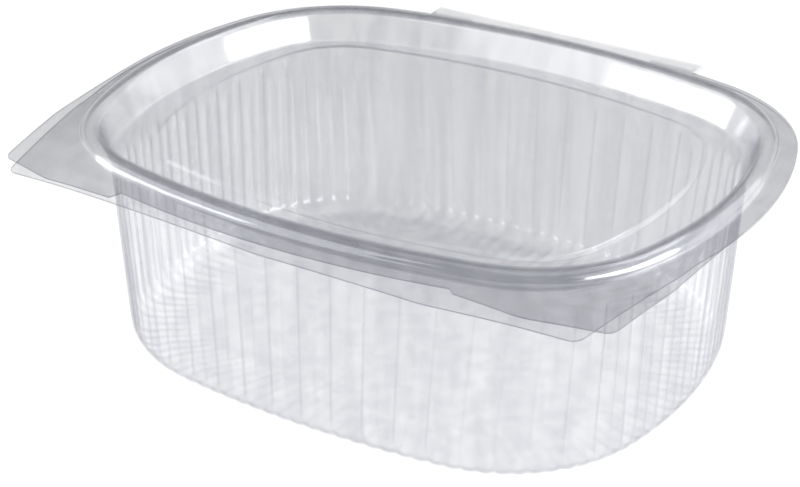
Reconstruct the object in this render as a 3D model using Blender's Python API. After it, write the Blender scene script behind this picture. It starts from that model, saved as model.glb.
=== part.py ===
"""A clear thermoformed meal container, closed: a fluted tub and the hinged lid that snaps over its rim.

Lengths below are in millimetres and the scene is in metres. +Z is up, the opening edge with its two
corner tabs faces -Y, the hinge is at +Y, and the origin is under the middle of the tub's floor.
"""

import math

import bmesh
import bpy
from mathutils import Vector

MM = 0.001

# The sheets and the space between them.
SHEET = 0.4
GAP = 0.3
RIM_HEIGHT = 61.0

# Outlines: half length, half width, bow of the long sides, bow of the short sides, corner radius.
RIM_OUTLINE = (90.0, 72.6, 18.2, 23.6, 42.5)
FOOT_OUTLINE = (81.2, 64.6, 12.0, 19.0, 46.0)
FLOOR_OUTLINE = (63.0, 43.0, 9.0, 5.0, 18.0)

# The flange with its land for the hinge, and the corners of the right tab's edge, from the front middle to the side.
FLANGE = 5.5
FLANGE_SLOPE = 0.15
LEVEL_FROM = 0.6
TUB_TAB = ((0.0, -81.0), (45.0, -80.3), (82.8, -75.0), (90.9, -38.0), (94.8, -8.0))
LID_TAB = ((50.0, -74.3), (68.0, -74.6), (88.4, -68.6), (92.8, -44.0), (95.2, -10.0))
HINGE_HALF_LENGTH = 44.4
HINGE_LAND = 81.1
HINGE_AXIS = 81.2
HINGE_END = 0.3

# The rim's mould line, as distance outside the rim outline, height over the rim and the way the sheet's upper side faces.
BEAD_LINE = (
    (0.1, 0.0, 80.0),
    (-0.8, 1.5, 25.0),
    (-1.9, 2.8, 65.0),
    (-3.5, 2.8, 115.0),
    (-4.6, 1.5, 155.0),
    (-5.6, -1.5, 160.0),
)
PLUG_FOOT = (-7.2, -5.6)
TROUGH = (-9.6, -6.1)
SLOPE_TOP = (-17.6, -4.0)
PANEL_EDGE = (-19.6, -3.05)

# The flutes: a valley on every second column, with every second valley shorter and shallower.
VALLEYS = 108
VALLEY_DEPTH = {"long": 1.0, "short": 0.7}
VALLEY_TOP = {"long": -10.0, "short": -13.0}
VALLEY_RUN_IN = 2.5
BAND_INSET = -7.4
WALL_END = 9.0
HEEL = ((-1.4, 4.4, 150.0), (-3.8, 1.4, 117.0), (-8.0, SHEET, 90.0))
FLOOR_RUN_OUT = 2.0

TUB_COLUMNS = 2 * VALLEYS
RIM_COLUMNS = VALLEYS
LID_COLUMNS = 72

CLEAR_COLOUR = (0.86, 0.89, 0.91, 1.0)
CLEAR_ROUGHNESS = 0.06
CLEAR_IOR = 1.57


class Outline:
    """A rounded rectangle with bowed sides, drawn by arcs that meet smoothly."""

    def __init__(self, half_length, half_width, long_bow, short_bow, corner):
        self.long_radius = (half_length**2 + long_bow**2) / (2 * long_bow)
        self.short_radius = (half_width**2 + short_bow**2) / (2 * short_bow)
        self.corner_radius = corner
        self.long_centre = Vector((0.0, self.long_radius - half_width))
        self.short_centre = Vector((half_length - self.short_radius, 0.0))
        self.corner_centre = self.find_corner()
        to_corner = self.corner_centre - self.long_centre
        self.long_end = math.atan2(to_corner.y, to_corner.x)
        to_corner = self.corner_centre - self.short_centre
        self.short_end = math.atan2(to_corner.y, to_corner.x)

    def find_corner(self):
        """The front right corner's centre, where circles inside the two side arcs cross."""
        from_long = self.long_radius - self.corner_radius
        from_short = self.short_radius - self.corner_radius
        between = self.short_centre - self.long_centre
        span = between.length
        along = (from_long**2 - from_short**2 + span**2) / (2 * span)
        across = math.sqrt(from_long**2 - along**2)
        unit = between / span
        foot = self.long_centre + unit * along
        sideways = Vector((-unit.y, unit.x)) * across
        return max((foot + sideways, foot - sideways), key=lambda p: p.x - p.y)

    def quarter(self, share):
        """The point and the outward direction at a share of the front right quarter's length."""
        front = -math.pi / 2
        arcs = (
            (self.long_centre, self.long_radius, front, self.long_end),
            (self.corner_centre, self.corner_radius, self.long_end, self.short_end),
            (self.short_centre, self.short_radius, self.short_end, 0.0),
        )
        lengths = [radius * (end - start) for _, radius, start, end in arcs]
        left = share * sum(lengths)
        for (centre, radius, start, end), length in zip(arcs, lengths):
            if left <= length or (centre, radius) == arcs[-1][:2]:
                angle = min(start + left / radius, end)
                outward = Vector((math.cos(angle), math.sin(angle)))
                return centre + outward * radius, outward
            left -= length

    def at(self, turn):
        """The point and the outward direction at a turn from 0 to 1, from the front middle towards +X."""
        share = 4 * turn
        if share <= 1:
            flip, share = (1, 1), share
        elif share <= 2:
            flip, share = (1, -1), 2 - share
        elif share <= 3:
            flip, share = (-1, -1), share - 2
        else:
            flip, share = (-1, 1), 4 - share
        point, outward = self.quarter(share)
        return tuple(Vector((v.x * flip[0], v.y * flip[1])) for v in (point, outward))


RIM = Outline(*RIM_OUTLINE)
FOOT = Outline(*FOOT_OUTLINE)
FLOOR = Outline(*FLOOR_OUTLINE)


def crossing(point, outward, start, end):
    """How far along the outward ray it crosses the line from start to end, or 0."""
    side = end - start
    turned = outward.x * side.y - outward.y * side.x
    if abs(turned) < 1e-9:
        return 0.0
    apart = start - point
    reach = (apart.x * side.y - apart.y * side.x) / turned
    share = (apart.x * outward.y - apart.y * outward.x) / turned
    return reach if 0 <= share <= 1 else 0.0


def hinge_land(point, outward):
    """How far the hinge's land goes past the rim outline, or 0 beside it."""
    if outward.y <= 0:
        return 0.0
    reach = (HINGE_LAND - point.y) / outward.y
    return reach if abs(point.x + outward.x * reach) <= HINGE_HALF_LENGTH else 0.0


def flange_reach(turn, tab):
    """How far the flange goes past the rim outline: a plain rim, a corner tab or the hinge's land."""
    point, outward = RIM.at(turn)
    if point.y > 0:
        return max(FLANGE, hinge_land(point, outward))
    sign = -1 if point.x < 0 else 1
    point, outward = (Vector((v.x * sign, v.y)) for v in (point, outward))
    corners = [Vector(corner) for corner in tab]
    return max([FLANGE] + [crossing(point, outward, a, b) for a, b in zip(corners, corners[1:])])


def flange_droop(turn, reach):
    """How far the flange's edge hangs below its root: it slopes down outwards, but lies level towards the hinge."""
    outward = RIM.at(turn)[1]
    return FLANGE_SLOPE * min(1.0, max(0.0, LEVEL_FROM - outward.y)) * reach


def sharp_corners(tab):
    """The corners that an edge point is moved onto: the tabs' and the two ends of the hinge's land."""
    ring = math.sqrt((RIM.long_radius + FLANGE) ** 2 - HINGE_HALF_LENGTH**2) - RIM.long_centre.y
    right = [Vector(corner) for corner in tab[1:-1]]
    right.append(Vector((HINGE_HALF_LENGTH, HINGE_LAND)))
    right.append(Vector((HINGE_HALF_LENGTH + HINGE_END, ring)))
    return right + [Vector((-corner.x, corner.y)) for corner in right]


def move_to_corners(row, tab):
    """Moves the nearest point of a flange's edge onto each of its corners, keeping its height."""
    for corner in sharp_corners(tab):
        nearest = min(row, key=lambda point: (point.xy - corner).length)
        nearest.x, nearest.y = corner


def facing(degrees):
    """A direction in the section: x is outwards, y is up."""
    return Vector((math.cos(math.radians(degrees)), math.sin(math.radians(degrees))))


def place(outline, turn, outwards, height):
    """The point in space at a turn, a distance outside an outline and a height."""
    point, outward = outline.at(turn)
    spot = point + outward * outwards
    return Vector((spot.x, spot.y, height))


def line_row(outline, spot, degrees, lift, count):
    """A ring round the part at one spot of the section, lifted off the mould line."""
    moved = Vector(spot) + facing(degrees) * lift
    return [place(outline, k / count, moved.x, moved.y) for k in range(count)]


def flange_row(tab, lift, count):
    """The outer edge of a flange."""
    row = []
    for k in range(count):
        reach = flange_reach(k / count, tab)
        height = RIM_HEIGHT + lift - flange_droop(k / count, reach)
        row.append(place(RIM, k / count, reach, height))
    move_to_corners(row, tab)
    return row


def rim_rows(tab, lift, count):
    """The rings from a flange's edge over the bead to the mouth's wall."""
    rows = [flange_row(tab, lift, count)]
    for outwards, height, degrees in BEAD_LINE:
        rows.append(line_row(RIM, (outwards, RIM_HEIGHT + height), degrees, lift, count))
    return rows


def valley_kind(column):
    """Which valley a column of the tub is, or None on a rib's crest."""
    if column % 2:
        return None
    return "long" if column % 4 == 0 else "short"


def fluted_row(outline, outwards, height, degrees, relief, lift, drop=None):
    """A ring of the tub's wall, with its valleys pressed in by a share of their depth."""
    row = []
    for k in range(TUB_COLUMNS):
        kind = valley_kind(k)
        depth = VALLEY_DEPTH[kind] * relief if kind else 0.0
        start = RIM_HEIGHT + VALLEY_TOP[kind or "short"] - drop if drop is not None else height
        spot = Vector((outwards, start)) + facing(degrees) * (depth + lift)
        row.append(place(outline, k / TUB_COLUMNS, spot.x, spot.y))
    return row


def tub_rows(lift):
    """The rings of one side of the tub's sheet, from the flange's edge to the floor."""
    rows = rim_rows(TUB_TAB, lift, RIM_COLUMNS)
    mouth = (PLUG_FOOT[0], RIM_HEIGHT + PLUG_FOOT[1])
    rows.append(line_row(RIM, mouth, 178.0, lift, RIM_COLUMNS))
    rows.append(fluted_row(RIM, BAND_INSET, 0.0, 180.0, 0.0, lift, drop=0.0))
    rows.append(fluted_row(RIM, BAND_INSET - 0.1, 0.0, 180.0, 1.0, lift, drop=VALLEY_RUN_IN))
    rows.append(fluted_row(FOOT, -SHEET, WALL_END, 178.0, 1.0, lift))
    for outwards, height, degrees in HEEL:
        rows.append(fluted_row(FOOT, outwards, height, degrees, 1.0, lift))
    rows.append(fluted_row(FLOOR, FLOOR_RUN_OUT, SHEET, 90.0, 1.0, lift))
    rows.append(fluted_row(FLOOR, 0.0, SHEET, 90.0, 0.0, lift))
    return rows


def lid_rows(lift):
    """The rings of one side of the lid's sheet, from the flange's edge to the panel."""
    rows = rim_rows(LID_TAB, lift, LID_COLUMNS)
    for spot, degrees in ((PLUG_FOOT, 150.0), (TROUGH, 100.0), (SLOPE_TOP, 110.0), (PANEL_EDGE, 100.0)):
        at = (spot[0], RIM_HEIGHT + spot[1])
        rows.append(line_row(RIM, at, degrees, lift, LID_COLUMNS))
    return rows


def add_ring(bm, row, origin):
    return [bm.verts.new((Vector(point) - origin) * MM) for point in row]


def bridge(bm, first, second):
    """Faces between two rings, where the second may have twice the points of the first."""
    count = len(first)
    if len(second) == count:
        for k in range(count):
            after = (k + 1) % count
            bm.faces.new((first[k], first[after], second[after], second[k]))
        return
    for k in range(count):
        after = (k + 1) % count
        low, middle, high = second[2 * k], second[2 * k + 1], second[(2 * k + 2) % (2 * count)]
        bm.faces.new((first[k], middle, low))
        bm.faces.new((first[k], first[after], middle))
        bm.faces.new((first[after], high, middle))


def cap(bm, ring):
    """A fan of faces from a ring to the point in its middle."""
    middle = bm.verts.new(sum((v.co for v in ring), Vector()) / len(ring))
    for k, vert in enumerate(ring):
        bm.faces.new((vert, ring[(k + 1) % len(ring)], middle))


def sheet_mesh(name, upper, lower, origin):
    """A closed thin body between the rings of its two sides."""
    bm = bmesh.new()
    sides = [[add_ring(bm, row, origin) for row in rows] for rows in (upper, lower)]
    for rings in sides:
        for first, second in zip(rings, rings[1:]):
            bridge(bm, first, second)
        cap(bm, rings[-1])
    bridge(bm, sides[0][0], sides[1][0])
    bmesh.ops.recalc_face_normals(bm, faces=bm.faces)
    bmesh.ops.triangulate(bm, faces=bm.faces)
    mesh = bpy.data.meshes.new(name)
    bm.to_mesh(mesh)
    bm.free()
    mesh.shade_smooth()
    mesh.set_sharp_from_angle(angle=math.radians(32))
    return mesh


def clear_plastic(name):
    material = bpy.data.materials.new(name)
    material.use_nodes = True
    shader = material.node_tree.nodes["Principled BSDF"]
    shader.inputs["Base Color"].default_value = CLEAR_COLOUR
    shader.inputs["Roughness"].default_value = CLEAR_ROUGHNESS
    shader.inputs["Metallic"].default_value = 0.0
    shader.inputs["IOR"].default_value = CLEAR_IOR
    shader.inputs["Transmission Weight"].default_value = 1.0
    material.diffuse_color = CLEAR_COLOUR
    return material


def add_piece(name, upper, lower, origin):
    piece = bpy.data.objects.new(name, sheet_mesh(name, upper, lower, origin))
    piece.location = origin * MM
    piece.data.materials.append(clear_plastic(name + "_plastic"))
    bpy.context.scene.collection.objects.link(piece)
    return piece


def make_tub():
    return add_piece("tub", tub_rows(0.0), tub_rows(-SHEET), Vector())


def make_lid():
    """The lid has its origin on the hinge's axis, halfway between the two flanges."""
    axis = Vector((0.0, HINGE_AXIS, RIM_HEIGHT + GAP / 2))
    return add_piece("lid", lid_rows(GAP + SHEET), lid_rows(GAP), axis)


def main():
    for old in list(bpy.data.objects):
        bpy.data.objects.remove(old, do_unlink=True)
    make_tub()
    make_lid()


main()
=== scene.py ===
"""The looks of a clear thermoformed meal container: its fluted tub, its press-on lid and the living hinge.

Lengths below are in millimetres and the scene is in metres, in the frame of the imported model: +Z up, the
opening edge with its two corner tabs towards -Y, the hinge at +Y and the origin under the middle of the tub.
"""

import math

import bpy
import numpy as np
from mathutils import Matrix, Vector


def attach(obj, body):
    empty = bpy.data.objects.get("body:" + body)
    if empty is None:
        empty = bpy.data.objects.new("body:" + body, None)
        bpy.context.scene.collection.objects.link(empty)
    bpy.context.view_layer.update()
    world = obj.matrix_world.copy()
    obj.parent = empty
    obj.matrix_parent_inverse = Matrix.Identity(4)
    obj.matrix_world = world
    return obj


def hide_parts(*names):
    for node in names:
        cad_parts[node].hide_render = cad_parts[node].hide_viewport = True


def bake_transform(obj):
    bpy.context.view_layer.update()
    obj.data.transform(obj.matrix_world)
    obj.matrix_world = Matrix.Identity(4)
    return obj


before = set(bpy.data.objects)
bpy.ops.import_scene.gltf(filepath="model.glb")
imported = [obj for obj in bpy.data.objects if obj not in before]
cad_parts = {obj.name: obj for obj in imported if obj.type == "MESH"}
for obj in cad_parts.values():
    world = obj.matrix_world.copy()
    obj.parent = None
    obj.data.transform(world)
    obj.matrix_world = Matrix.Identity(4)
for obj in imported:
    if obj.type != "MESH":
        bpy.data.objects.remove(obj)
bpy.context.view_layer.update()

MM = 0.001
TINY = 1e-9

# Each sheet's thickness, the space between the two, and the height of the upper side of the tub's flange.
SHEET = 0.4
GAP = 0.3
RIM_HEIGHT = 61.0

# The outlines: half length, half width, bow of the long sides, bow of the short sides and corner radius.
RIM_OUTLINE = (90.0, 72.6, 18.2, 23.6, 42.5)
FOOT_OUTLINE = (81.2, 64.6, 12.0, 19.0, 46.0)
FLOOR_OUTLINE = (63.0, 43.0, 9.0, 5.0, 18.0)

# The flange: its width, where it starts, its fall for each millimetre outwards, the outward direction's Y
# under which it falls, and its rings as shares of its reach.
FLANGE = 5.4
FLANGE_ROOT = 1.6
FLANGE_SLOPE = 0.15
LEVEL_FROM = 0.6
FLANGE_SHARES = (1.0, 0.97, 0.75, 0.5, 0.25, 0.0)

# The left and the right tab's edge of each layer, from the middle to the side, as corners with a fillet
# radius. The closed lid sits a little askew, so the layers lie closer on the left.
TAB_SIDES = ((90.9, -38.0, 25.0), (94.7, -8.0, 0.0)), ((92.7, -44.0, 25.0), (95.1, -10.0, 0.0))
TUB_TABS = (
    ((0.0, -81.0, 0.0), (40.0, -77.8, 30.0), (83.0, -74.4, 3.5)) + TAB_SIDES[0],
    ((0.0, -81.0, 0.0), (45.0, -80.3, 30.0), (82.8, -75.0, 3.5)) + TAB_SIDES[0],
)
LID_TABS = (
    ((47.0, -76.4, 0.0), (70.0, -75.0, 20.0), (88.2, -69.0, 3.5)) + TAB_SIDES[1],
    ((50.0, -74.3, 0.0), (68.0, -74.6, 20.0), (88.4, -68.6, 3.5)) + TAB_SIDES[1],
)

# The hinge: half its length, where its two lands end, the outward direction's Y over which the flange can
# reach them, from where on the sheet has the hinge's looks, and the fold's steps round and along.
HINGE_HALF_LENGTH = 44.4
HINGE_LAND = 80.7
LAND_FROM = 0.1
HINGE_FROM = 75.5
FOLD_STEPS = 12
FOLD_STATIONS = 45

# The mould line of each sheet as corners: distance outside the rim outline, height over the rim and fillet
# radius. Then the sizes of the rings on the panel, and the steps of each kind of fillet.
BEAD_CORNERS = ((0.25, 0.0, 1.9), (-0.95, 2.7, 2.2), (-4.05, 2.7, 2.0))
LID_CORNERS = BEAD_CORNERS + ((-7.4, -6.3, 1.4), (-18.5, -3.9, 0.4), (-19.6, -3.05, 0.4))
TUB_CORNERS = BEAD_CORNERS + ((-7.2, -5.9, 2.0),)
PANEL_START = (-21.5, -3.05)
PANEL_SIZES = (0.85, 0.6, 0.3, 0.02)
CORNER_STEPS = 6
TAB_STEPS = 8
HEEL_STEPS = 9

# The flutes: long and short valleys by turns, pressed in from the outside. They run down the wall and round
# the heel, where they flatten to a share of their depth, and end under the floor, flatter still.
VALLEY_PAIRS = 54
VALLEY_DEPTH = {"long": 1.0, "short": 0.7}
VALLEY_TOP = {"long": 51.0, "short": 48.0}
VALLEY_RUN_IN = 2.2
VALLEY_WIDTH = 0.36
WALL_INSET = -7.4
FLUTE_TOP_HEIGHTS = (53.4, 52.4, 51.6, 50.9, 50.2, 49.5, 48.8, 48.1, 47.4, 46.7, 46.0)
WALL_HEIGHTS = FLUTE_TOP_HEIGHTS + (44.0, 38.0, 30.0, 22.0, 14.0, 9.5)
HEEL_CORNERS = ((-0.3, 9.5, 0.0), (-1.0, SHEET, 5.5), (-9.0, SHEET, 0.0))
HEEL_DEPTH = 0.4
UNDERSIDE_SHARES = (0.25, 0.5, 0.72, 0.86, 0.95)
UNDERSIDE_DEPTH = 0.18
FLOOR_EDGE = 0.8
FLOOR_SIZES = (1.0, 0.8, 0.5, 0.2, 0.02)

TUB_COLUMNS = 540
LID_COLUMNS = 432
SHARP_DEGREES = 50
EDGE_MATERIAL = 1
HINGE_MATERIAL = 2

# The photo's width in pixels and its camera, placed by fitting the container's outlines to the photo, with
# angles in degrees and lengths in millimetres.
PHOTO_WIDTH = 800
CAMERA_AZIMUTH = 30.71
CAMERA_ELEVATION = 27.41
CAMERA_ROLL = 0.68
CAMERA_DISTANCE = 580.76
CAMERA_ASIDE = (-3.91, 24.28)
FOCAL_PIXELS = 2061.68
CENTRE_SHIFT_PIXELS = (13.2, -0.92)
SENSOR_WIDTH = 36.0

# How each plastic takes light: its tint, the tint of its painted streaks of light and shade, its painted
# tint at a slant, the roughness of its gloss, its haze, and how much it mirrors when faced squarely and at a
# slant. The streaks stand in for light bent by a sheet left uneven by forming; the tint at a slant stands in
# for light the sheet bends at a slant, as painted shade on the tub and the hinge and painted light on the
# lid.
PLASTICS = {
    "tub_plastic": dict(
        light_tint=(0.985, 0.985, 0.988, 1.0),
        painted_streak_tint=(0.942, 0.944, 0.952, 1.0),
        painted_slant_tint=(0.87, 0.875, 0.89, 1.0),
        roughness=0.12,
        haze=0.01,
        mirror=(0.05, 1.0),
    ),
    "lid_plastic": dict(
        light_tint=(0.868, 0.871, 0.88, 1.0),
        painted_streak_tint=(0.86, 0.863, 0.872, 1.0),
        painted_slant_tint=(0.95, 0.953, 0.96, 1.0),
        roughness=0.1,
        haze=0.01,
        mirror=(0.05, 1.0),
    ),
    "hinge_plastic": dict(
        light_tint=(0.975, 0.975, 0.978, 1.0),
        painted_streak_tint=(0.96, 0.962, 0.965, 1.0),
        painted_slant_tint=(0.94, 0.94, 0.945, 1.0),
        roughness=0.08,
        haze=0.0,
        mirror=(0.01, 0.5),
    ),
}
GLOSS_COLOUR = (0.8, 0.8, 0.82, 1.0)
HAZE_COLOUR = (0.85, 0.86, 0.88, 1.0)
SHADOW_COLOUR = (0.995, 0.995, 0.995, 1.0)
# The cut edge's tint is painted shade, for light that runs along the sheet and comes out dark.
PAINTED_EDGE_SHADE = (0.55, 0.56, 0.6, 1.0)
FLOOR_COLOUR = (0.9, 0.9, 0.9, 1.0)
# The painted streaks' size and stretch, and the powers of the slant for the painted tint and for the
# mirroring.
PAINTED_STREAK_SCALE = 170.0
PAINTED_STREAK_STRETCH = (1.0, 1.0, 0.12)
PAINTED_SLANT_EXPONENT = 3.0
MIRROR_EXPONENT = 5.0

# The studio: the floor's side in metres and its drop under the tub, the lamps with angles in degrees and
# lengths in metres, and the surroundings' brightness by the height of the direction.
FLOOR_SIDE = 6.0
FLOOR_DROP = 0.3
LAMPS = {
    "left_box": dict(azimuth=-141.0, elevation=29.0, size=(3.2, 2.0), radiance=1.95, distance=2.6),
    "left_glow": dict(azimuth=-150.0, elevation=13.0, size=(1.7, 0.6), radiance=4.5, distance=2.0),
    "right_box": dict(azimuth=25.0, elevation=30.0, size=(5.2, 2.4), radiance=1.35, distance=2.6),
    "right_glow": dict(azimuth=4.0, elevation=17.0, size=(1.95, 0.8), radiance=9.0, distance=2.0),
    "high_box": dict(azimuth=72.0, elevation=53.0, size=(1.3, 0.9), radiance=3.6, distance=2.6),
    "top_box": dict(azimuth=60.0, elevation=84.0, size=(2.0, 2.0), radiance=0.75, distance=2.6),
}
SURROUNDINGS = ((0.0, 0.75), (0.06, 0.75), (0.2, 0.14), (0.80, 0.14), (0.95, 0.3))


class Outline:
    """A rounded rectangle with bowed sides, drawn by arcs that meet smoothly."""

    def __init__(self, half_length, half_width, long_bow, short_bow, corner):
        self.long_radius = (half_length**2 + long_bow**2) / (2 * long_bow)
        self.short_radius = (half_width**2 + short_bow**2) / (2 * short_bow)
        self.corner_radius = corner
        self.long_centre = np.array((0.0, self.long_radius - half_width))
        self.short_centre = np.array((half_length - self.short_radius, 0.0))
        self.corner_centre = self.find_corner()

    def find_corner(self):
        """The front right corner's centre, where circles inside the two side arcs cross."""
        from_long = self.long_radius - self.corner_radius
        from_short = self.short_radius - self.corner_radius
        apart = self.short_centre - self.long_centre
        span = np.hypot(*apart)
        along = (from_long**2 - from_short**2 + span**2) / (2 * span)
        across = math.sqrt(from_long**2 - along**2)
        unit = apart / span
        foot = self.long_centre + unit * along
        sideways = np.array((-unit[1], unit[0])) * across
        return max((foot + sideways, foot - sideways), key=lambda p: p[0] - p[1])

    def quarter(self, shares):
        """Points and outward directions at shares of the front right quarter's length."""
        long_end = math.atan2(*(self.corner_centre - self.long_centre)[::-1])
        short_end = math.atan2(*(self.corner_centre - self.short_centre)[::-1])
        arcs = (
            (self.long_centre, self.long_radius, -math.pi / 2, long_end),
            (self.corner_centre, self.corner_radius, long_end, short_end),
            (self.short_centre, self.short_radius, short_end, 0.0),
        )
        whole = sum(radius * (end - start) for _, radius, start, end in arcs)
        left = shares * whole
        points = np.zeros((len(shares), 2))
        outward = np.zeros((len(shares), 2))
        for centre, radius, start, end in arcs:
            angles = start + left / radius
            inside = left > -TINY
            angles = np.minimum(angles, end)
            unit = np.stack((np.cos(angles), np.sin(angles)), axis=1)
            points[inside] = (centre + radius * unit)[inside]
            outward[inside] = unit[inside]
            left = left - radius * (end - start)
        return points, outward

    def at(self, turns):
        """Points and outward directions at turns from 0 to 1, from the front middle towards +X."""
        share = 4 * turns
        within = share % 2
        points, outward = self.quarter(np.minimum(within, 2 - within))
        sides = np.where(share <= 2, 1, -1)
        fronts = np.where((share <= 1) | (share >= 3), 1, -1)
        flips = np.stack((sides, fronts), axis=1)
        return points * flips, outward * flips


RIM = Outline(*RIM_OUTLINE)
FOOT = Outline(*FOOT_OUTLINE)
FLOOR = Outline(*FLOOR_OUTLINE)


def smooth(value):
    """Eases from 0 to 1 as the value goes from 0 to 1."""
    value = np.clip(value, 0.0, 1.0)
    return value * value * (3 - 2 * value)


def filleted(corners, steps=CORNER_STEPS):
    """A line through corners given as (x, y, fillet radius), with an arc in place of each inner corner."""
    line = [np.array(corners[0][:2])]
    for before, corner, after in zip(corners, corners[1:], corners[2:]):
        at = np.array(corner[:2])
        back = np.array(before[:2]) - at
        ahead = np.array(after[:2]) - at
        back = back / np.hypot(*back)
        ahead = ahead / np.hypot(*ahead)
        half = math.acos(np.clip(back @ ahead, -1, 1)) / 2
        middle = (back + ahead) / np.hypot(*(back + ahead))
        centre = at + middle * corner[2] / math.sin(half)
        start = at + back * corner[2] / math.tan(half) - centre
        end = at + ahead * corner[2] / math.tan(half) - centre
        for k in range(steps + 1):
            share = k / steps
            spoke = start * (1 - share) + end * share
            line.append(centre + spoke * corner[2] / np.hypot(*spoke))
    line.append(np.array(corners[-1][:2]))
    return line


def ring(outline, turns, outwards, height):
    """The points round the part at a distance outside an outline and at a height."""
    points, outward = outline.at(turns)
    spots = points + outward * outwards
    return np.column_stack((spots, np.full(len(turns), float(height))))


def crossings(points, outward, line):
    """How far along its outward ray each point meets a line's last crossing, or 0."""
    reach = np.zeros(len(points))
    for start, end in zip(line, line[1:]):
        side = end - start
        turned = outward[:, 0] * side[1] - outward[:, 1] * side[0]
        turned = np.where(np.abs(turned) < TINY, np.inf, turned)
        apart = start - points
        along = (apart[:, 0] * side[1] - apart[:, 1] * side[0]) / turned
        share = (apart[:, 0] * outward[:, 1] - apart[:, 1] * outward[:, 0]) / turned
        hit = (share >= 0) & (share <= 1)
        reach = np.where(hit, np.maximum(reach, along), reach)
    return reach


def flange_rings(turns, tabs):
    """The rings of a flange from its edge inwards: its rim, the corner tabs and the land of the hinge."""
    points, outward = RIM.at(turns)
    mirrored = np.column_stack((np.abs(points[:, 0]), points[:, 1]))
    aside = np.column_stack((np.abs(outward[:, 0]), outward[:, 1]))
    front = points[:, 1] < 0
    left, right = (crossings(mirrored, aside, filleted(tab, TAB_STEPS)) for tab in tabs)
    reach = np.where(front, np.where(points[:, 0] < 0, left, right), 0.0)
    land = (HINGE_LAND - points[:, 1]) / np.where(outward[:, 1] > LAND_FROM, outward[:, 1], np.inf)
    on_land = np.abs(points[:, 0] + outward[:, 0] * land) <= HINGE_HALF_LENGTH
    reach = np.where(~front & on_land, np.maximum(reach, land), reach)
    reach = np.maximum(reach, FLANGE)
    slope = FLANGE_SLOPE * np.clip(LEVEL_FROM - outward[:, 1], 0, 1)
    rings = []
    for share in FLANGE_SHARES:
        out = FLANGE_ROOT + (reach - FLANGE_ROOT) * share
        spots = points + outward * out[:, None]
        height = RIM_HEIGHT - slope * (out - FLANGE_ROOT)
        rings.append(np.column_stack((spots, height)))
    return rings


def section_rings(turns, corners, end):
    """The rings of a mould line from the flange inwards to its end."""
    line = filleted(((FLANGE_ROOT, 0.0, 0.0),) + corners + ((*end, 0.0),))
    return [ring(RIM, turns, out, RIM_HEIGHT + height) for out, height in line[1:]]


def between(first, second, share):
    """A spot at a share of the way from the first to the second."""
    return first * (1 - share) + second * share


def normals_of(grid):
    """The unit normals of a grid of rings, on the side that faces up on the flange."""
    around = np.roll(grid, -1, axis=1) - np.roll(grid, 1, axis=1)
    across = np.gradient(grid, axis=0)
    normals = np.cross(across, around)
    normals /= np.maximum(np.linalg.norm(normals, axis=2, keepdims=True), 1e-12)
    return normals if normals[3, 0, 2] > 0 else -normals


def valley_shares(turns):
    """How deep each kind of valley is at the turns, from 0 on the ribs to 1 along its middle."""
    phase = (turns * VALLEY_PAIRS) % 1.0
    from_long = np.minimum(phase, 1 - phase) / VALLEY_WIDTH
    from_short = np.abs(phase - 0.5) / VALLEY_WIDTH
    return {
        "long": np.cos(np.clip(from_long, 0, 0.5) * math.pi) ** 2,
        "short": np.cos(np.clip(from_short, 0, 0.5) * math.pi) ** 2,
    }


def tub_rings(turns):
    """The upper side of the tub's sheet without its flutes, from the flange's edge to the floor's middle."""
    wall_top = (WALL_INSET, WALL_HEIGHTS[0] - RIM_HEIGHT)
    rings = flange_rings(turns, TUB_TABS) + section_rings(turns, TUB_CORNERS, wall_top)
    top = ring(RIM, turns, WALL_INSET, 0.0)
    foot = ring(FOOT, turns, HEEL_CORNERS[0][0], 0.0)
    for height in WALL_HEIGHTS[1:-1]:
        share = (WALL_HEIGHTS[0] - height) / (WALL_HEIGHTS[0] - WALL_HEIGHTS[-1])
        rings.append(between(top, foot, share) + (0.0, 0.0, height))
    rings += [ring(FOOT, turns, out, height) for out, height in filleted(HEEL_CORNERS, HEEL_STEPS)]
    heel_end = rings[-1]
    floor_edge = ring(FLOOR, turns, FLOOR_EDGE, SHEET)
    rings += [between(heel_end, floor_edge, share) for share in UNDERSIDE_SHARES]
    rings.append(floor_edge)
    floor = ring(FLOOR, turns, 0.0, SHEET)
    for size in FLOOR_SIZES:
        rings.append(floor * (size, size, 1.0))
    return rings


def flute_depths(turns, heights):
    """How deep the flutes are at the turns of the columns and the heights of the rings."""
    depth = np.zeros(heights.shape)
    for kind, share in valley_shares(turns).items():
        run_in = smooth((VALLEY_TOP[kind] - heights) / VALLEY_RUN_IN)
        depth += VALLEY_DEPTH[kind] * share[None, :] * run_in
    depth *= HEEL_DEPTH + (1 - HEEL_DEPTH) * smooth(heights / HEEL_CORNERS[0][1])
    first = len(heights) - len(FLOOR_SIZES) - len(UNDERSIDE_SHARES)
    depth[first:] *= UNDERSIDE_DEPTH / HEEL_DEPTH
    depth[-len(FLOOR_SIZES):] = 0.0
    return depth


def tub_grid():
    """The upper side of the tub's sheet as rings, with its flutes pressed in."""
    turns = np.arange(TUB_COLUMNS) / TUB_COLUMNS
    grid = np.stack(tub_rings(turns))
    depth = flute_depths(turns, grid[:, :, 2])
    return grid + normals_of(grid) * depth[:, :, None]


def lid_grid():
    """The mould line of the lid's sheet as rings from the flange's edge to the panel's middle."""
    turns = np.arange(LID_COLUMNS) / LID_COLUMNS
    rings = flange_rings(turns, LID_TABS)
    rings += section_rings(turns, LID_CORNERS, PANEL_START)
    edge = rings[-1]
    for size in PANEL_SIZES:
        rings.append(edge * (size, size, 1.0))
    return np.stack(rings)


def add_piece(name, mesh):
    """Shades a mesh smooth, but for its sharp edges, and adds it to the scene."""
    mesh.update()
    mesh.shade_smooth()
    mesh.set_sharp_from_angle(angle=math.radians(SHARP_DEGREES))
    piece = bpy.data.objects.new(name, mesh)
    bpy.context.scene.collection.objects.link(piece)
    return piece


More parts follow.
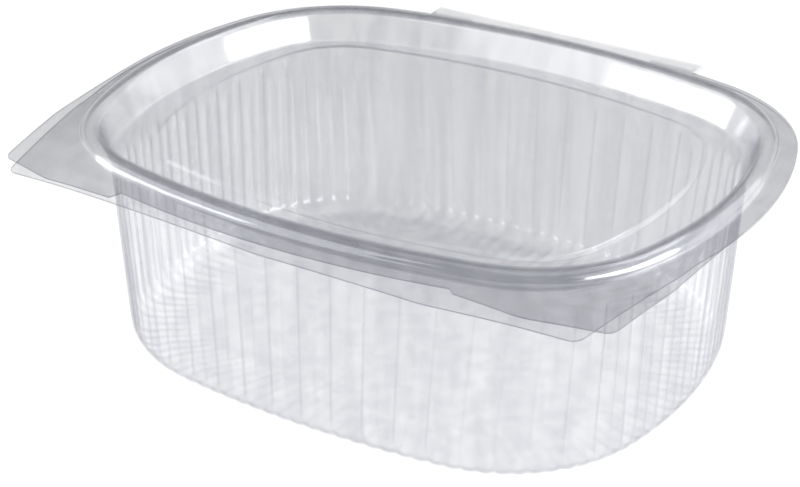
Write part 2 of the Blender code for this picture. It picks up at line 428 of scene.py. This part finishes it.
def sheet_piece(name, grid, low, high):
    """A closed thin body between two offsets from a grid of rings, with its cut edge and hinge marked."""
    normals = normals_of(grid)
    rows, columns = grid.shape[:2]
    sides = [grid + normals * lift for lift in (high, low)]
    middles = [side[-1].mean(axis=0) for side in sides]
    vertices = np.concatenate([side.reshape(-1, 3) for side in sides] + [np.array(middles)])
    index = np.arange(rows * columns).reshape(rows, columns)
    after = np.roll(index, -1, axis=1)
    below = rows * columns
    upper = np.stack((index[:-1], after[:-1], after[1:], index[1:]), axis=2).reshape(-1, 4)
    lower = upper[:, ::-1] + below
    rim = np.stack((index[0], index[0] + below, after[0] + below, after[0]), axis=1)
    top = 2 * below
    bottom = top + 1
    fan = np.stack((index[-1], after[-1], np.full(columns, top)), axis=1)
    under = np.stack((after[-1] + below, index[-1] + below, np.full(columns, bottom)), axis=1)
    faces = upper.tolist() + lower.tolist() + rim.tolist() + fan.tolist() + under.tolist()
    mesh = bpy.data.meshes.new(name)
    mesh.from_pydata((vertices * MM).tolist(), [], faces)
    edge_from = 2 * len(upper)
    for face in mesh.polygons:
        if face.center.y > HINGE_FROM * MM:
            face.material_index = HINGE_MATERIAL
        elif edge_from <= face.index < edge_from + columns:
            face.material_index = EDGE_MATERIAL
    return add_piece(name, mesh)


def fold_piece(name, height, inner, outer, half_length):
    """The living hinge: a strip of half ring that joins the ends of the two lands."""
    vertices = []
    for s in range(FOLD_STATIONS):
        x = -half_length + 2 * half_length * s / (FOLD_STATIONS - 1)
        for radius in (outer, inner):
            for k in range(FOLD_STEPS + 1):
                angle = math.radians(-90 + 180 * k / FOLD_STEPS)
                y = HINGE_LAND + radius * math.cos(angle)
                vertices.append((x * MM, y * MM, (height + radius * math.sin(angle)) * MM))
    around = 2 * (FOLD_STEPS + 1)
    loop = list(range(FOLD_STEPS + 1)) + list(range(around - 1, FOLD_STEPS, -1))
    faces = [loop[::-1], [v + (FOLD_STATIONS - 1) * around for v in loop]]
    for s in range(FOLD_STATIONS - 1):
        for k in range(around):
            a = loop[k] + s * around
            b = loop[(k + 1) % around] + s * around
            faces.append((a, b, b + around, a + around))
    mesh = bpy.data.meshes.new(name)
    mesh.from_pydata(vertices, [], faces)
    return add_piece(name, mesh)


def feed(tree, socket, value):
    """Links an input to another node's output, or sets it to a plain value."""
    if isinstance(value, bpy.types.NodeSocket):
        tree.links.new(value, socket)
    else:
        socket.default_value = value


def node(tree, kind, **values):
    """A new node, with its settings and its inputs given by name."""
    made = tree.nodes.new(kind)
    for name, value in values.items():
        if hasattr(made, name):
            setattr(made, name, value)
        else:
            feed(tree, made.inputs[name.replace("_", " ")], value)
    return made


def worked_out(tree, values, **settings):
    """The result of a Math node on values in order."""
    made = node(tree, "ShaderNodeMath", **settings)
    for socket, value in zip(made.inputs, values):
        feed(tree, socket, value)
    return made.outputs[0]


def curve_of(tree, source, exponent, low, high):
    """A value that runs from low to high with a power of a 0 to 1 source."""
    power = worked_out(tree, (source, exponent), operation="POWER")
    return worked_out(tree, (power, high - low, low), operation="MULTIPLY_ADD", use_clamp=True)


def mixed_colours(tree, share, first, second):
    """The first colour, taken towards the second by a share."""
    mix = node(tree, "ShaderNodeMix", data_type="RGBA")
    low, high = [socket for socket in mix.inputs if socket.type == "RGBA"]
    feed(tree, mix.inputs[0], share)
    feed(tree, low, first)
    feed(tree, high, second)
    return mix.outputs[2]


def mixed_shaders(tree, share, first, second):
    """The first node's shader, taken towards the second's by a share."""
    mix = node(tree, "ShaderNodeMixShader", Fac=share)
    feed(tree, mix.inputs[1], first.outputs[0])
    feed(tree, mix.inputs[2], second.outputs[0])
    return mix


def painted_streaks(tree, place):
    """Fine upright painted streaks of light and shade, 0 to 1, for light bent by a wall left uneven by
    forming.
    """
    stretched = node(tree, "ShaderNodeMapping", Vector=place, Scale=PAINTED_STREAK_STRETCH)
    where = stretched.outputs[0]
    noise = node(tree, "ShaderNodeTexNoise", Vector=where, Scale=PAINTED_STREAK_SCALE, Detail=2.0, Roughness=0.5)
    painted_streak_mask = node(tree, "ShaderNodeMapRange", Value=noise.outputs["Fac"], From_Min=0.38, From_Max=0.62)
    return painted_streak_mask.outputs[0]


def ripples(tree, place):
    """The direction of a surface with slight, soft ripples."""
    noise = node(tree, "ShaderNodeTexNoise", Vector=place, Scale=90.0, Detail=3.0, Roughness=0.45)
    bump = node(tree, "ShaderNodeBump", Height=noise.outputs["Fac"], Strength=0.12, Distance=0.0004)
    return bump.outputs["Normal"]


def empty_material(name):
    """A new material with no nodes in it yet."""
    material = bpy.data.materials.new(name)
    material.use_nodes = True
    material.node_tree.nodes.clear()
    return material


def clear_plastic(name, light_tint, painted_streak_tint, painted_slant_tint, roughness, haze, mirror):
    """Thin clear plastic: light passes straight, but at a slant it mirrors more and takes a painted tint."""
    material = empty_material(name)
    tree = material.node_tree
    place = node(tree, "ShaderNodeTexCoord").outputs["Object"]
    normal = ripples(tree, place)
    slant = node(tree, "ShaderNodeLayerWeight", Normal=normal, Blend=0.5).outputs["Facing"]
    # The tint takes painted streaks of light and shade, for light bent by the uneven sheet.
    tint_with_painted_streaks = mixed_colours(tree, painted_streaks(tree, place), light_tint, painted_streak_tint)
    # At a slant the tint turns to a painted one: painted shade on the tub and the hinge, painted light on
    # the lid.
    tint = mixed_colours(tree, curve_of(tree, slant, PAINTED_SLANT_EXPONENT, 0.0, 1.0), tint_with_painted_streaks, painted_slant_tint)
    through = node(tree, "ShaderNodeBsdfTransparent", Color=tint)
    cloud = node(tree, "ShaderNodeBsdfDiffuse", Color=HAZE_COLOUR)
    gloss = node(tree, "ShaderNodeBsdfGlossy", Color=GLOSS_COLOUR, Roughness=roughness, Normal=normal)
    passing = node(tree, "ShaderNodeBsdfTransparent", Color=SHADOW_COLOUR)
    body = mixed_shaders(tree, haze, through, cloud)
    surface = mixed_shaders(tree, curve_of(tree, slant, MIRROR_EXPONENT, *mirror), body, gloss)
    shadow_ray = node(tree, "ShaderNodeLightPath").outputs["Is Shadow Ray"]
    lit = mixed_shaders(tree, shadow_ray, surface, passing)
    node(tree, "ShaderNodeOutputMaterial", Surface=lit.outputs[0])
    return material


def cut_edge():
    """The sheet's cut edge, where light runs along the sheet and comes out dark."""
    material = empty_material("cut_edge")
    tree = material.node_tree
    # A dark tint as painted shade on the cut edge.
    through = node(tree, "ShaderNodeBsdfTransparent", Color=PAINTED_EDGE_SHADE)
    gloss = node(tree, "ShaderNodeBsdfGlossy", Color=GLOSS_COLOUR, Roughness=0.2)
    surface = mixed_shaders(tree, 0.06, through, gloss)
    node(tree, "ShaderNodeOutputMaterial", Surface=surface.outputs[0])
    return material


def dress(piece, *materials):
    """Gives a piece its materials, in the order of its faces' material numbers."""
    for material in materials:
        piece.data.materials.append(material)


def make_tub(tub_plastic, edge, hinge_plastic):
    """The tub, whose sheet lies inside its mould line."""
    tub = sheet_piece("tub_fluted_shell", tub_grid(), -SHEET, 0.0)
    dress(tub, tub_plastic, edge, hinge_plastic)
    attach(tub, "base")
    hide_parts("tub")


def make_lid(lid_plastic, edge, hinge_plastic):
    """The lid, pressed on so that its sheet lies a gap above the tub's."""
    lid = sheet_piece("lid_pressed_shell", lid_grid(), GAP, GAP + SHEET)
    dress(lid, lid_plastic, edge, hinge_plastic)
    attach(lid, "lid")
    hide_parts("lid")


def make_fold(hinge_plastic):
    """The living hinge's fold, which bends between the ends of the two lands."""
    fold = fold_piece("hinge_fold", RIM_HEIGHT + GAP / 2, GAP / 2, GAP / 2 + SHEET / 2, HINGE_HALF_LENGTH)
    dress(fold, hinge_plastic)
    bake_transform(fold)


def make_container():
    """The tub, the lid and the fold that joins them."""
    plastics = {name: clear_plastic(name, **looks) for name, looks in PLASTICS.items()}
    edge = cut_edge()
    make_tub(plastics["tub_plastic"], edge, plastics["hinge_plastic"])
    make_lid(plastics["lid_plastic"], edge, plastics["hinge_plastic"])
    make_fold(plastics["hinge_plastic"])


def make_floor():
    """A matt white floor just under the tub."""
    bpy.ops.mesh.primitive_plane_add(size=FLOOR_SIDE, location=(0.0, 0.0, -FLOOR_DROP * MM))
    floor = bpy.context.object
    floor.name = "floor"
    material = bpy.data.materials.new("floor_white")
    material.use_nodes = True
    shader = material.node_tree.nodes["Principled BSDF"]
    shader.inputs["Base Color"].default_value = FLOOR_COLOUR
    shader.inputs["Roughness"].default_value = 0.9
    floor.data.materials.append(material)


def make_camera():
    """The photo's camera, placed from angles in degrees and lengths in millimetres."""
    az, el, roll = (math.radians(a) for a in (CAMERA_AZIMUTH, CAMERA_ELEVATION, CAMERA_ROLL))
    ahead = Vector((-math.sin(az) * math.cos(el), math.cos(az) * math.cos(el), -math.sin(el)))
    right = Vector((math.cos(az), math.sin(az), 0.0))
    up = right.cross(ahead)
    place = right * CAMERA_ASIDE[0] + up * CAMERA_ASIDE[1] - ahead * CAMERA_DISTANCE
    turned = right * math.cos(roll) + up * math.sin(roll)
    upright = up * math.cos(roll) - right * math.sin(roll)
    data = bpy.data.cameras.new("camera")
    data.sensor_width = SENSOR_WIDTH
    data.lens = FOCAL_PIXELS * SENSOR_WIDTH / PHOTO_WIDTH
    data.shift_x = -CENTRE_SHIFT_PIXELS[0] / PHOTO_WIDTH
    data.shift_y = CENTRE_SHIFT_PIXELS[1] / PHOTO_WIDTH
    camera = bpy.data.objects.new("camera", data)
    axes = Matrix((turned, upright, -ahead)).transposed()
    camera.matrix_world = Matrix.Translation(place * MM) @ axes.to_4x4()
    bpy.context.scene.collection.objects.link(camera)
    bpy.context.scene.camera = camera


def soft_box(name, azimuth, elevation, size, radiance, distance):
    """A lamp of a width and height that faces the container, as bright all over as its radiance says."""
    data = bpy.data.lights.new(name, "AREA")
    data.shape = "RECTANGLE"
    data.size, data.size_y = size
    data.energy = radiance * size[0] * size[1] * math.pi
    lamp = bpy.data.objects.new(name, data)
    az = math.radians(azimuth)
    el = math.radians(elevation)
    away = Vector((math.cos(az) * math.cos(el), math.sin(az) * math.cos(el), math.sin(el)))
    lamp.location = away * distance
    lamp.rotation_euler = away.to_track_quat("Z", "Y").to_euler()
    bpy.context.scene.collection.objects.link(lamp)


def make_world():
    """The surroundings: pale low down, dark above that and paler again overhead."""
    world = bpy.data.worlds.new("studio")
    world.use_nodes = True
    tree = world.node_tree
    tree.nodes.clear()
    direction = node(tree, "ShaderNodeTexCoord").outputs["Generated"]
    parts = node(tree, "ShaderNodeSeparateXYZ", Vector=direction)
    ramp = node(tree, "ShaderNodeValToRGB", Fac=parts.outputs["Z"])
    elements = ramp.color_ramp.elements
    while len(elements) < len(SURROUNDINGS):
        elements.new(0.5)
    for element, (at, level) in zip(elements, SURROUNDINGS):
        element.position = at
        element.color = (level, level, level, 1.0)
    light = node(tree, "ShaderNodeBackground", Color=ramp.outputs["Color"], Strength=1.0)
    node(tree, "ShaderNodeOutputWorld", Surface=light.outputs[0])
    bpy.context.scene.world = world


def make_studio():
    """The camera, the floor, the surroundings and the lamps, and how deep light is followed."""
    make_camera()
    make_floor()
    make_world()
    for name, lamp in LAMPS.items():
        soft_box(name, **lamp)
    scene = bpy.context.scene
    scene.view_settings.view_transform = "Standard"
    scene.view_settings.look = "None"
    scene.cycles.max_bounces = 12
    scene.cycles.transparent_max_bounces = 24
    scene.cycles.transmission_bounces = 4
    scene.cycles.glossy_bounces = 4
    scene.cycles.diffuse_bounces = 2


make_container()
make_studio()
